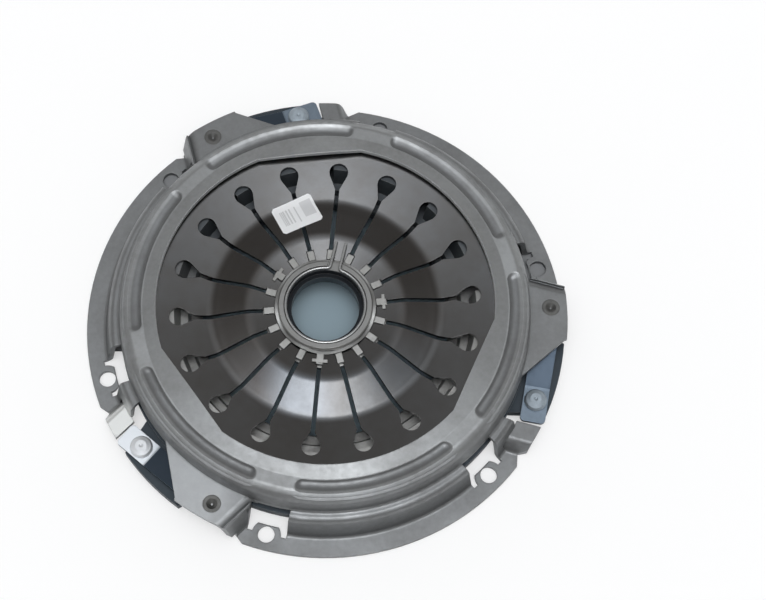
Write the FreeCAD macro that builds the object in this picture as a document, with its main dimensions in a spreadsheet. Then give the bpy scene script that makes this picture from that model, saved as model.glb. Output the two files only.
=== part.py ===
import FreeCAD, Part
import math
import os
import re
import Sketcher

# A pull-type diaphragm-spring clutch cover assembly. Millimetres and degrees, +Z up.
# The origin lies on the axis, in the flange's underside, which bolts to the flywheel.

Vector = FreeCAD.Vector
Rotation = FreeCAD.Rotation
Placement = FreeCAD.Placement
UP = Vector(0, 0, 1)
FULL_TURN = 360

SIZE_LIST = {
    # Stamped cover: one sheet, followed from the flange's rim to the mouth in the middle.
    "sheet_thickness": 3.5,
    "flange_radius": 160.0,
    "wall_foot_radius": 147.2,
    "shoulder_height": 26.0,
    "shoulder_outer_radius": 142.8,
    "shoulder_inner_radius": 136.0,
    "crease_radius": 134.2,
    "crease_height": 38.5,
    "crown_radius": 131.0,
    "crown_height": 43.8,
    "land_radius": 119.3,
    "mouth_radius": 110.5,
    "mouth_height": 46.5,
    "mouth_flat_distance": 105.0,
    "mouth_flat_angle": 96.0,
    "outside_bend": 4.5,
    "inside_bend": 2.5,
    "crown_bend": 7.6,
    # Pressed grooves, whose undersides are the ring that the spring tilts on.
    "groove_radius": 125.0,
    "groove_half_width": 5.0,
    "groove_depth": 1.8,
    "groove_count": 6,
    "groove_sweep": 44.0,
    # Bolts to the flywheel, and the window behind each hole.
    "bolt_circle_radius": 150.0,
    "bolt_hole_radius": 5.5,
    "bolt_count": 6,
    "first_bolt_angle": 15.7,
    "bolt_boss_radius": 9.4,
    "window_half_width": 13.0,
    "window_reach": 149.5,
    "window_wall_foot": 20.0,
    # Ears: the raised bridges over the straps, and the low tab at each strap's end.
    "ear_count": 3,
    "first_ear_angle": 105.0,
    "platform_rim": 14.0,
    "platform_slope_run": 5.0,
    "platform_cut_inner": 8.4,
    "platform_cut_outer": 22.9,
    "platform_cut_radius": 157.0,
    "tab_gap": 1.5,
    "tab_length": 13.5,
    "tab_slope_run": 5.0,
    "tab_height": 14.0,
    "tab_inner_radius": 145.2,
    "tab_wall_gap": 4.0,
    "relief_depth": 4.5,
    "relief_run": 10.0,
    "relief_side": 3.0,
    "relief_height": 9.0,
    # Leaf straps, three leaves to a pack.
    "leaf_count": 3,
    "leaf_thickness": 0.9,
    "leaf_width": 16.5,
    "leaf_corner": 3.0,
    "leaf_bend": 14.0,
    "strap_lug_overhang": 15.0,
    "strap_cover_overhang": 9.5,
    "strap_lug_flat": 9.0,
    "strap_cover_flat": 11.5,
    # Rivets.
    "cover_rivet_circle": 149.2,
    "cover_rivet_angle": 16.5,
    "cover_rivet_radius": 4.0,
    "cover_rivet_head_radius": 7.0,
    "cover_rivet_head_height": 3.2,
    "cover_rivet_crown_share": 0.55,
    "cover_rivet_brow_share": 0.9,
    "cover_rivet_brow_rise": 0.6,
    "cover_rivet_sink_radius": 5.8,
    "cover_rivet_sink_depth": 1.8,
    "cover_rivet_dimple_radius": 3.6,
    "cover_rivet_dimple_depth": 2.4,
    "lug_rivet_circle": 149.5,
    "lug_rivet_angle": -7.5,
    "lug_rivet_radius": 5.0,
    "lug_rivet_head_radius": 7.4,
    "lug_rivet_head_height": 4.2,
    "lug_rivet_rim_rise": 0.3,
    "lug_rivet_brow_share": 0.86,
    "lug_rivet_brow_rise": 0.72,
    "lug_rivet_crown_share": 0.5,
    "lug_rivet_dimple_share": 0.2,
    "lug_rivet_dimple_rise": 0.82,
    "lug_rivet_recess": 0.8,
    "rivet_clearance": 0.05,
    # Diaphragm spring.
    "spring_thickness": 3.2,
    "spring_outer_radius": 128.2,
    "spring_knee_radius": 98.0,
    "spring_knee_fall": 1.0,
    "spring_low_radius": 77.0,
    "spring_fall": 7.95,
    "spring_hump_radius": 51.5,
    "spring_hump_rise": 6.3,
    "spring_tip_radius": 30.6,
    "spring_tip_fall": 3.1,
    "spring_bend": 14.0,
    "finger_count": 18,
    "first_slot_angle": 5.0,
    "slot_half_width": 1.4,
    "slot_neck_radius": 85.5,
    "keyhole_radius": 6.2,
    "keyhole_centre": 96.4,
    "notch_half_width": 2.5,
    "notch_outer_radius": 40.8,
    "spring_gap": 0.15,
    # Pressure plate casting.
    "friction_height": 4.0,
    "plate_room": 10.7,
    "friction_inner_radius": 82.5,
    "friction_chamfer": 1.0,
    "rim_height": 13.0,
    "body_step": 10.0,
    "body_height": 19.5,
    "bore_height": 14.0,
    "bore_shelf_radius": 91.0,
    "ridge_radius": 101.0,
    "ridge_half_width": 1.6,
    "ridge_root_half_width": 5.0,
    "ridge_gap_count": 9,
    "ridge_gap_half_width": 5.0,
    "first_ridge_gap_angle": 25.0,
    "lug_rim": 10.3,
    "lug_side_rim": 5.5,
    "lug_flare": 8.0,
    "lug_root_depth": 11.0,
    "lug_underside": 5.0,
    "lug_height": 12.0,
    # Release ring assembly in the middle.
    "nose_bore_radius": 22.3,
    "bore_radius": 25.0,
    "bore_ledge_height": 30.5,
    "collar_radius": 29.9,
    "collar_foot": 22.0,
    "collar_flange_radius": 41.0,
    "collar_flange_thickness": 3.3,
    "collar_top": 38.6,
    "collar_lip_radius": 31.2,
    "collar_lip_thickness": 2.4,
    "wire_radius": 1.0,
    "wire_seat_radius": 27.4,
    "wire_notch_half_width": 5.2,
    "wire_prong_reach": 45.5,
    "wire_prong_half_gap": 3.2,
    "wire_bend": 2.6,
    "wire_angle": 77.0,
    "cage_thickness": 1.2,
    "cage_tab_half_width": 2.1,
    "cage_tab_inner_radius": 33.6,
    "cage_tab_outer_radius": 40.2,
    "cage_tab_top": 35.3,
    "wave_inner_radius": 30.3,
    "wave_outer_radius": 33.2,
    "wave_thickness": 0.7,
    "wave_amplitude": 0.6,
    "wave_count": 6,
    "clip_thickness": 1.0,
    "clip_stem_half_width": 2.2,
    "clip_bar_half_width": 5.0,
    "clip_bar_width": 2.0,
    "clip_inner_radius": 33.5,
    "clip_outer_radius": 39.2,
    "seat_gap": 0.1,
    # How far a cutting tool runs past what it cuts, and a joined sheet into its neighbour.
    "overrun": 1.0,
    "sheet_lap": 3.0,
}
CLIP_ANGLES = (5.0, 145.0, 265.0)

doc = FreeCAD.newDocument("ClutchPressurePlate")
sizes = doc.addObject("Spreadsheet::Sheet", "Sizes")
for row, (alias, value) in enumerate(SIZE_LIST.items(), 1):
    sizes.set(f"A{row}", alias)
    sizes.set(f"B{row}", str(value))
    sizes.setAlias(f"B{row}", alias)
doc.recompute()


def cell(text):
    """The expression with each named size written as a cell of the size sheet."""
    def as_cell(match):
        word = match.group(0)
        return "Sizes." + word if word in SIZE_LIST else word
    return re.sub(r"[a-z_]+", as_cell, text)


def number(text):
    """The present value of an expression in named sizes."""
    value = sizes.evalExpression(cell(text))
    return float(getattr(value, "Value", value))


def bind(item, path, text):
    item.setExpression(path, cell(text))


# Sizes that follow from the ones above, as expressions. Along an ear, distances run
# sideways from its middle: the lug rivet lies on the minus side, the cover rivet on the plus.
LUG_RIVET_OFFSET = "(lug_rivet_circle * sin(-lug_rivet_angle * 1deg))"
COVER_RIVET_OFFSET = "(cover_rivet_circle * sin(cover_rivet_angle * 1deg))"
# The straps run from a rivet in the cover's platform to a rivet in the plate's lug.
LUG_X = "(lug_rivet_circle * cos(lug_rivet_angle * 1deg))"
LUG_Y = f"(-{LUG_RIVET_OFFSET})"
COVER_X = "(cover_rivet_circle * cos(cover_rivet_angle * 1deg))"
COVER_Y = COVER_RIVET_OFFSET
STRAP_SPAN = f"sqrt(({COVER_X} - {LUG_X}) ^ 2 + ({COVER_Y} - {LUG_Y}) ^ 2)"
STRAP_HEADING = f"atan2({COVER_Y} - {LUG_Y}; {COVER_X} - {LUG_X})"
PLATFORM_EDGE = f"({COVER_RIVET_OFFSET} + platform_rim)"
PLATFORM_FOOT = f"({PLATFORM_EDGE} + platform_slope_run)"
TAB_END = f"({LUG_RIVET_OFFSET} + strap_lug_overhang + tab_gap)"
TAB_EDGE = f"({TAB_END} + tab_length)"
TAB_FOOT = f"({TAB_EDGE} + tab_slope_run)"
FRICTION_OUTER = "(wall_foot_radius - plate_room)"
BODY_RADIUS = f"({FRICTION_OUTER} - body_step)"
LUG_RADIUS = "(lug_rivet_circle + lug_rim)"
LUG_HALF_WIDTH = f"({LUG_RIVET_OFFSET} + lug_side_rim)"
LUG_ROOT_HALF_WIDTH = f"({LUG_HALF_WIDTH} + lug_flare)"
GROOVE_SECTION = "((groove_half_width ^ 2 + groove_depth ^ 2) / (2 * groove_depth))"
GROOVE_HEIGHT = f"(crown_height + {GROOVE_SECTION} - groove_depth)"
BEAD_SECTION = f"({GROOVE_SECTION} + sheet_thickness)"
BEAD_BOTTOM = "(crown_height - groove_depth - sheet_thickness)"
SPRING_SLOPE = "(spring_knee_fall / (groove_radius - spring_knee_radius))"
# The sloping spring comes nearest to the round bead a little outside the bead's lowest line.
SPRING_CONTACT = (
    f"({BEAD_BOTTOM} - spring_gap - {BEAD_SECTION} * (sqrt(1 + {SPRING_SLOPE} ^ 2) - 1))"
)
SPRING_KNEE = f"({SPRING_CONTACT} - spring_knee_fall)"
SPRING_LOW = f"({SPRING_CONTACT} - spring_fall)"
SPRING_HUMP = f"({SPRING_LOW} + spring_hump_rise)"
SPRING_TIP = f"({SPRING_HUMP} - spring_tip_fall)"
SPRING_RIM = f"({SPRING_CONTACT} + (spring_outer_radius - groove_radius) * {SPRING_SLOPE})"
RIDGE_TOP = (
    f"({SPRING_CONTACT} - (groove_radius - ridge_radius + ridge_half_width) * {SPRING_SLOPE}"
    " - spring_thickness - spring_gap)"
)
PLATFORM_UNDERSIDE = "(shoulder_height - sheet_thickness)"
PACK_THICKNESS = "(leaf_count * leaf_thickness)"
STRAP_HIGH = f"({PLATFORM_UNDERSIDE} - {PACK_THICKNESS})"
MOUTH_SLOPE = "((mouth_height - crown_height) / (land_radius - mouth_radius))"
CAGE_TOP = f"({SPRING_TIP} - spring_thickness - seat_gap)"
FLANGE_TOP = f"({CAGE_TOP} - cage_thickness)"
WIRE_HEIGHT = "(collar_top - wire_radius)"
WIRE_CIRCLE = "((bore_radius + wire_seat_radius) / 2)"


# Sketch helpers. A corner is a pair of expressions; its place is bound to the size sheet.
def pin_point(sketch, geometry, end, corner):
    for kind, axis, text in (("DistanceX", -2, corner[0]), ("DistanceY", -1, corner[1])):
        if abs(number(text)) < 1e-7:
            sketch.addConstraint(Sketcher.Constraint("PointOnObject", geometry, end, axis))
        else:
            rule = Sketcher.Constraint(kind, -1, 1, geometry, end, number(text))
            index = sketch.addConstraint(rule)
            bind(sketch, f"Constraints[{index}]", text)


def corner_point(corner):
    return Vector(number(corner[0]), number(corner[1]), 0)


def draw_corners(sketch, corners, closed=True, bends=None):
    """Straight lines through the corners. bends maps a corner's index to its bend radius."""
    points = [corner_point(corner) for corner in corners]
    count = len(corners) if closed else len(corners) - 1
    lines = []
    for index in range(count):
        line = Part.LineSegment(points[index], points[(index + 1) % len(points)])
        lines.append(sketch.addGeometry(line, False))
    for index in range(count if closed else count - 1):
        following = lines[(index + 1) % count]
        sketch.addConstraint(Sketcher.Constraint("Coincident", lines[index], 2, following, 1))
    for index in range(count):
        pin_point(sketch, lines[index], 1, corners[index])
    if not closed:
        pin_point(sketch, lines[-1], 2, corners[-1])
    doc.recompute()
    for index, radius in (bends or {}).items():
        before = sketch.GeometryCount
        sketch.fillet(lines[index - 1], 2, number(radius), True, True)
        arcs = [
            g for g in range(before, sketch.GeometryCount)
            if sketch.Geometry[g].TypeId == "Part::GeomArcOfCircle"
        ]
        rule = Sketcher.Constraint("Radius", arcs[0], number(radius))
        bind(sketch, f"Constraints[{sketch.addConstraint(rule)}]", radius)
    return lines


def draw_circle(sketch, centre, radius):
    circle = sketch.addGeometry(Part.Circle(corner_point(centre), UP, number(radius)), False)
    pin_point(sketch, circle, 3, centre)
    rule = Sketcher.Constraint("Radius", circle, number(radius))
    bind(sketch, f"Constraints[{sketch.addConstraint(rule)}]", radius)
    return circle


# Body helpers.
def new_body(label):
    body = doc.addObject("PartDesign::Body", label)
    body.Label = label
    return body


def origin_item(body, role):
    return next(item for item in body.Origin.OriginFeatures if item.Role == role)


def body_sketch(body, name, plane, offset=None):
    """A sketch on one of the body's own planes; offset is its height as an expression."""
    sketch = body.newObject("Sketcher::SketchObject", name)
    sketch.AttachmentSupport = (origin_item(body, plane), [""])
    sketch.MapMode = "FlatFace"
    if offset:
        bind(sketch, "AttachmentOffset.Base.z", offset)
    doc.recompute()
    return sketch


def revolve(body, name, sketch, axis="V_Axis"):
    feature = body.newObject("PartDesign::Revolution", name)
    feature.Profile = sketch
    feature.ReferenceAxis = (sketch, [axis])
    feature.Angle = FULL_TURN
    doc.recompute()
    return feature


def pad(body, name, sketch, length, both_ways=False, kind="PartDesign::Pad"):
    feature = body.newObject(kind, name)
    feature.Profile = sketch
    feature.Midplane = both_ways
    bind(feature, "Length", length)
    doc.recompute()
    return feature


def repeat(body, name, feature, count):
    pattern = body.newObject("PartDesign::PolarPattern", name)
    pattern.Originals = [feature]
    pattern.Axis = (origin_item(body, "Z_Axis"), [""])
    pattern.Angle = FULL_TURN
    bind(pattern, "Occurrences", count)
    body.Tip = pattern
    doc.recompute()
    return pattern


def turn(item, angle):
    """Turn an object about the axis by an angle that is an expression."""
    item.Placement = Placement(Vector(), Rotation(UP, 1))
    bind(item, "Placement.Rotation.Angle", angle)


# Solid helpers for the stamped cover.
def solid(kind, name, expressions):
    item = doc.addObject(kind, name)
    for path, text in expressions.items():
        bind(item, path, text)
    return item


def combine(kind, name, items):
    item = doc.addObject(kind, name)
    item.Shapes = items
    return item


def minus(name, base, tool):
    item = doc.addObject("Part::Cut", name)
    item.Base = base
    item.Tool = tool
    return item


def upright_block(name, low, high):
    """A box between two corners, each three expressions."""
    return solid("Part::Box", name, {
        "Length": f"{high[0]} - ({low[0]})",
        "Width": f"{high[1]} - ({low[1]})",
        "Height": f"{high[2]} - ({low[2]})",
        "Placement.Base.x": low[0],
        "Placement.Base.y": low[1],
        "Placement.Base.z": low[2],
    })


def disc(name, radius, low, high, x="0"):
    return solid("Part::Cylinder", name, {
        "Radius": radius,
        "Height": f"{high} - ({low})",
        "Placement.Base.x": x,
        "Placement.Base.z": low,
    })


def ring(name, inner, outer, low, high):
    outer_disc = disc(name + "Outer", outer, low, high)
    inner_disc = disc(name + "Inner", inner, low, high)
    return minus(name, outer_disc, inner_disc)


def around(name, item, first_angle, count):
    """The item repeated evenly about the axis."""
    links = []
    for index in range(int(number(count))):
        link = doc.addObject("App::Link", f"{name}{index + 1}")
        link.LinkedObject = item
        link.LinkTransform = True
        turn(link, f"{first_angle} + {index} * {FULL_TURN} / {count}")
        links.append(link)
    return links


def formed_sheet(name, corners, bends, plane_turn, solid_maker):
    """Sheet metal of even thickness whose outer face follows the corners."""
    sketch = doc.addObject("Sketcher::SketchObject", name + "Line")
    sketch.Placement = Placement(Vector(), plane_turn)
    draw_corners(sketch, corners, closed=False, bends=bends)
    section = doc.addObject("Part::Offset2D", name + "Section")
    section.Source = sketch
    section.Mode = "Skin"
    section.Join = "Intersection"
    section.Fill = True
    bind(section, "Value", "sheet_thickness")
    return solid_maker(name, section)


def spun(name, section):
    item = doc.addObject("Part::Revolution", name)
    item.Source = section
    item.Axis = UP
    item.Angle = FULL_TURN
    item.Solid = True
    return item


def run_outwards(name, section):
    """The section carried outwards from the axis, far past the flange's rim."""
    item = doc.addObject("Part::Extrusion", name)
    item.Base = section
    item.DirMode = "Custom"
    item.Dir = Vector(1, 0, 0)
    bind(item, "LengthFwd", "flange_radius + outside_bend")
    item.Solid = True
    return item


RADIAL_PLANE = Rotation(Vector(1, 0, 0), 90)
TANGENT_PLANE = Rotation(Vector(1, 1, 1), 120)


def make_cover():
    """One stamped sheet: flange, wall, shoulder, crown and mouth, with grooves and ears."""
    inner_end = "(mouth_flat_distance - sheet_thickness)"
    band = formed_sheet(
        "CoverBand",
        [
            ("flange_radius", "sheet_thickness"),
            ("wall_foot_radius", "sheet_thickness"),
            ("shoulder_outer_radius", "shoulder_height"),
            ("shoulder_inner_radius", "shoulder_height"),
            ("crease_radius", "crease_height"),
            ("crown_radius", "crown_height"),
            ("land_radius", "crown_height"),
            (inner_end, f"crown_height + (land_radius - {inner_end}) * {MOUTH_SLOPE}"),
        ],
        {
            1: "inside_bend", 2: "outside_bend", 3: "inside_bend",
            4: "crown_bend", 5: "crown_bend", 6: "inside_bend",
        },
        RADIAL_PLANE,
        spun,
    )
    beads, grooves = make_grooves()
    with_beads = combine("Part::MultiFuse", "BandWithBeads", [band] + beads)
    ear_room = around("EarRoom", make_ear_room(), "first_ear_angle", "ear_count")
    mouth = make_mouth()
    opened = minus("OpenedBand", with_beads,
                   combine("Part::MultiFuse", "BandOpenings", grooves + ear_room + [mouth]))
    shells = around("Platform", make_platform(), "first_ear_angle", "ear_count")
    shells += around("StopTab", make_stop_tab(), "first_ear_angle", "ear_count")
    whole = combine("Part::MultiFuse", "BandWithEars", [opened] + shells)
    cuts = around("BoltWindow", make_bolt_window(), "first_bolt_angle", "bolt_count")
    bolt_hole = disc("BoltHole", "bolt_hole_radius", "-overrun", "sheet_thickness + overrun",
                     "bolt_circle_radius")
    cuts += around("BoltHoles", bolt_hole, "first_bolt_angle", "bolt_count")
    for name, side, foot in (("PlatformRelief", "", PLATFORM_FOOT), ("TabRelief", "-", TAB_FOOT)):
        cuts += around(name, make_relief(name + "Cut", side, foot), "first_ear_angle", "ear_count")
    cuts += around("RivetHole", make_rivet_hole(), "first_ear_angle + cover_rivet_angle",
                   "ear_count")
    return minus("clutch_cover", whole, combine("Part::MultiFuse", "SheetCuts", cuts))


def make_grooves():
    """Round-bottomed grooves with domed ends, and the beads that they raise below."""
    beads = []
    grooves = []
    start = "-(groove_sweep / 2)"
    for name, section, kept in (
        ("GrooveTool", GROOVE_SECTION, grooves),
        ("BeadTool", BEAD_SECTION, beads),
    ):
        arc = solid("Part::Torus", name + "Arc", {
            "Radius1": "groove_radius", "Radius2": section, "Angle3": "groove_sweep",
        })
        turn(arc, start)
        bind(arc, "Placement.Base.z", GROOVE_HEIGHT)
        ends = []
        for side, angle in (("Start", start), ("Finish", "groove_sweep / 2")):
            ends.append(solid("Part::Sphere", name + side, {
                "Radius": section,
                "Placement.Base.x": f"groove_radius * cos({angle} * 1deg)",
                "Placement.Base.y": f"groove_radius * sin({angle} * 1deg)",
                "Placement.Base.z": GROOVE_HEIGHT,
            }))
        tool = combine("Part::MultiFuse", name, [arc] + ends)
        if kept is beads:
            below = disc("BelowCrown", "flange_radius", "0", "crown_height - sheet_thickness / 2")
            tool = combine("Part::MultiCommon", "BeadBelowCrown", [tool, below])
        first = "first_bolt_angle + 180 / groove_count"
        kept.extend(around(name + "Copy", tool, first, "groove_count"))
    return beads, grooves


def make_mouth():
    """The round mouth with three flats, as the block of air that it leaves."""
    round_part = disc("MouthRound", "mouth_radius", "crease_height - sheet_thickness",
                      "mouth_height + 2 * outside_bend")
    block = upright_block(
        "MouthSide",
        ("-(2 * mouth_radius)", "-(2 * mouth_radius)", "0"),
        ("mouth_flat_distance", "2 * mouth_radius", "2 * mouth_height"),
    )
    sides = around("MouthFlat", block, "mouth_flat_angle", "ear_count")
    return combine("Part::MultiCommon", "Mouth", [round_part] + sides)


def make_ear_room():
    """The space cleared of flange and wall at an ear that points along +X."""
    rim = "flange_radius + overrun"
    start = ("0", f"-({TAB_END} + tab_wall_gap)", "-overrun")
    tall = upright_block("EarTall", start, (
        rim, PLATFORM_FOOT, "shoulder_height + outside_bend"))
    low = upright_block("EarLow", start, (rim, PLATFORM_FOOT, "window_wall_foot"))
    outside_wall, under_wall = wall_sides("Ear")
    beside_tab = upright_block("EarFlange", ("0", f"-{TAB_FOOT}", "-overrun"), (
        rim, "0", "shoulder_height"))
    outside_tab = ring("EarRim", "tab_inner_radius", "flange_radius + 2 * overrun",
                       "-2 * overrun", "crown_height")
    under_tab = upright_block("EarUnderTab", (BODY_RADIUS, f"-{TAB_EDGE}", "-overrun"), (
        rim, "0", "tab_height - sheet_thickness"))
    return combine("Part::MultiFuse", "EarRoom", [
        combine("Part::MultiCommon", "EarRoomTall", [tall, outside_wall]),
        combine("Part::MultiCommon", "EarRoomLow", [low, under_wall]),
        combine("Part::MultiCommon", "EarRoomFlange", [beside_tab, outside_tab]),
        under_tab,
    ])


def make_relief(name, side, foot):
    """A notch in the flange's rim at the foot of a slope. side is the sign of its direction."""
    def at(radius, run):
        return (f"sqrt(({radius}) ^ 2 - ({run}) ^ 2)", f"{side}({run})")

    outline = doc.addObject("Sketcher::SketchObject", name + "Outline")
    outline.Placement = Placement(Vector(), Rotation())
    bind(outline, "Placement.Base.z", "-overrun")
    draw_corners(outline, [
        at("flange_radius - relief_depth", foot),
        at("flange_radius + overrun", f"{foot} + relief_run"),
        at("flange_radius + overrun", f"{foot} - relief_side"),
    ])
    notch = doc.addObject("Part::Extrusion", name)
    notch.Base = outline
    notch.DirMode = "Custom"
    notch.Dir = UP
    bind(notch, "LengthFwd", "relief_height + overrun")
    notch.Solid = True
    return notch


def wall_sides(name):
    """Everything outside the shoulder's inner edge, and everything outside the plate's body."""
    top = "shoulder_height + 2 * outside_bend"
    outside = ring(name + "Outside", "shoulder_inner_radius", "flange_radius + 2 * overrun",
                   "-2 * overrun", top)
    under = ring(name + "Under", BODY_RADIUS, "flange_radius + 2 * overrun",
                 "-2 * overrun", top)
    return outside, under


def make_platform():
    """The raised shelf that carries a strap, with its slope down to the flange."""
    shelf = formed_sheet(
        "ShelfSheet",
        [
            (f"{PLATFORM_FOOT} + sheet_lap", "sheet_thickness"),
            (PLATFORM_FOOT, "sheet_thickness"),
            (PLATFORM_EDGE, "shoulder_height"),
            (f"-{PLATFORM_EDGE}", "shoulder_height"),
        ],
        {1: "inside_bend", 2: "outside_bend"},
        TANGENT_PLANE,
        run_outwards,
    )
    outline = doc.addObject("Sketcher::SketchObject", "ShelfOutline")
    draw_corners(outline, [
        ("crease_radius", "-platform_cut_inner - 2 * overrun"),
        ("shoulder_inner_radius", "-platform_cut_inner"),
        ("platform_cut_radius", "platform_cut_outer"),
        ("flange_radius + 3 * overrun", "platform_cut_outer + 3 * overrun"),
        ("flange_radius + 3 * overrun", f"{PLATFORM_FOOT} + sheet_lap + overrun"),
        ("land_radius", f"{PLATFORM_FOOT} + sheet_lap + overrun"),
        ("land_radius", "0"),
    ])
    reach = doc.addObject("Part::Extrusion", "ShelfReach")
    reach.Base = outline
    reach.DirMode = "Custom"
    reach.Dir = UP
    bind(reach, "LengthFwd", "crown_height")
    reach.Solid = True
    inside = ring("ShelfRing", "crease_radius", "flange_radius", "-overrun", "crown_height")
    return combine("Part::MultiCommon", "Shelf", [shelf, reach, inside])


def make_stop_tab():
    """The low tab beside a strap's end."""
    tab = formed_sheet(
        "TabSheet",
        [
            (f"-{TAB_FOOT} - sheet_lap", "sheet_thickness"),
            (f"-{TAB_FOOT}", "sheet_thickness"),
            (f"-{TAB_EDGE}", "tab_height"),
            (f"-{TAB_END}", "tab_height"),
        ],
        {1: "inside_bend", 2: "outside_bend"},
        TANGENT_PLANE,
        run_outwards,
    )
    inside = ring("TabRing", "tab_inner_radius - overrun", "flange_radius", "-overrun",
                  "crown_height")
    return combine("Part::MultiCommon", "Tab", [tab, inside])


def make_bolt_window():
    """The window behind a bolt hole on +X, round the boss that holds the hole."""
    start = ("0", "-window_half_width", "-overrun")
    tall = upright_block("WindowTall", start, (
        "window_reach", "window_half_width", "shoulder_height + outside_bend"))
    low = upright_block("WindowLow", start, (
        "window_reach", "window_half_width", "window_wall_foot"))
    outside_wall, under_wall = wall_sides("Window")
    room = combine("Part::MultiFuse", "WindowRoom", [
        combine("Part::MultiCommon", "WindowRoomTall", [tall, outside_wall]),
        combine("Part::MultiCommon", "WindowRoomLow", [low, under_wall]),
    ])
    boss = disc("BoltBoss", "bolt_boss_radius", "-2 * overrun", "sheet_thickness",
                "bolt_circle_radius")
    return minus("BoltWindow", room, boss)


def make_rivet_hole():
    """A countersunk hole for a rivet, on +X."""
    shank = disc("RivetShankHole", "cover_rivet_radius + rivet_clearance",
                 "shoulder_height - 2 * sheet_thickness", "shoulder_height + overrun",
                 "cover_rivet_circle")
    sink = solid("Part::Cone", "RivetSink", {
        "Radius1": "cover_rivet_radius + rivet_clearance",
        "Radius2": "cover_rivet_sink_radius + rivet_clearance",
        "Height": "cover_rivet_sink_depth",
        "Placement.Base.x": "cover_rivet_circle",
        "Placement.Base.z": "shoulder_height - cover_rivet_sink_depth",
    })
    return combine("Part::MultiFuse", "RivetHole", [shank, sink])


def make_pressure_plate():
    """A cast ring with a raised ridge for the spring and three lugs for the straps."""
    body = new_body("pressure_plate")
    section = body_sketch(body, "PlateSection", "XZ_Plane")
    draw_corners(section, [
        ("friction_inner_radius", "friction_height + friction_chamfer"),
        ("friction_inner_radius + friction_chamfer", "friction_height"),
        (f"{FRICTION_OUTER} - friction_chamfer", "friction_height"),
        (FRICTION_OUTER, "friction_height + friction_chamfer"),
        (FRICTION_OUTER, "rim_height"),
        (BODY_RADIUS, "rim_height + friction_chamfer"),
        (BODY_RADIUS, "body_height - 2 * friction_chamfer"),
        (f"{BODY_RADIUS} - 2 * friction_chamfer", "body_height"),
        ("ridge_radius + ridge_root_half_width", "body_height"),
        ("ridge_radius + ridge_half_width", RIDGE_TOP),
        ("ridge_radius - ridge_half_width", RIDGE_TOP),
        ("ridge_radius - ridge_root_half_width", "body_height"),
        ("bore_shelf_radius", "body_height"),
        ("bore_shelf_radius - 2 * friction_chamfer", "bore_height + friction_chamfer"),
        ("friction_inner_radius + friction_chamfer", "bore_height + friction_chamfer"),
        ("friction_inner_radius", "bore_height"),
    ])
    revolve(body, "PlateRing", section)
    gap_sketch = body_sketch(body, "RidgeGapOutline", "XY_Plane")
    gap_sketch.AttachmentOffset = Placement(Vector(), Rotation(UP, 1))
    bind(gap_sketch, "AttachmentOffset.Rotation.Angle", "first_ridge_gap_angle")
    bind(gap_sketch, "AttachmentOffset.Base.z", f"{RIDGE_TOP} + overrun")
    gap_inner = "ridge_radius - ridge_root_half_width - overrun"
    gap_outer = "ridge_radius + ridge_root_half_width + overrun"
    draw_corners(gap_sketch, [
        (gap_inner, "-ridge_gap_half_width"),
        (gap_outer, "-ridge_gap_half_width"),
        (gap_outer, "ridge_gap_half_width"),
        (gap_inner, "ridge_gap_half_width"),
    ])
    gap = pad(body, "RidgeGap", gap_sketch, f"{RIDGE_TOP} + overrun - body_height",
              kind="PartDesign::Pocket")
    repeat(body, "RidgeGaps", gap, "ridge_gap_count")
    lug_sketch = body_sketch(body, "LugOutline", "XY_Plane", "lug_underside")
    draw_lug(lug_sketch)
    lug = pad(body, "Lug", lug_sketch, "lug_height - lug_underside")
    repeat(body, "Lugs", lug, "ear_count")
    hole_sketch = body_sketch(body, "LugHoleOutline", "XY_Plane", "lug_height + overrun")
    draw_circle(hole_sketch, (LUG_X, LUG_Y), "lug_rivet_radius + rivet_clearance")
    hole = pad(body, "LugHole", hole_sketch, "lug_height + overrun", kind="PartDesign::Pocket")
    repeat(body, "LugHoles", hole, "ear_count")
    turn(body, "first_ear_angle")
    return body


def draw_lug(sketch):
    """A lug on +X: straight flanks that widen towards the root, and a round outer edge."""
    root = f"{FRICTION_OUTER} - lug_root_depth"
    tip_x = f"sqrt({LUG_RADIUS} ^ 2 - {LUG_HALF_WIDTH} ^ 2)"
    lines = draw_corners(sketch, [
        (tip_x, LUG_HALF_WIDTH),
        (root, LUG_ROOT_HALF_WIDTH),
        (root, f"-{LUG_ROOT_HALF_WIDTH}"),
        (tip_x, f"-{LUG_HALF_WIDTH}"),
    ], closed=False)
    radius = number(LUG_RADIUS)
    half_angle = math.asin(number(LUG_HALF_WIDTH) / radius)
    rim = Part.ArcOfCircle(Part.Circle(Vector(), UP, radius), -half_angle, half_angle)
    arc = sketch.addGeometry(rim, False)
    sketch.addConstraint(Sketcher.Constraint("Coincident", arc, 1, lines[-1], 2))
    sketch.addConstraint(Sketcher.Constraint("Coincident", arc, 2, lines[0], 1))
    rule = Sketcher.Constraint("Radius", arc, radius)
    bind(sketch, f"Constraints[{sketch.addConstraint(rule)}]", LUG_RADIUS)
    doc.recompute()


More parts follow.
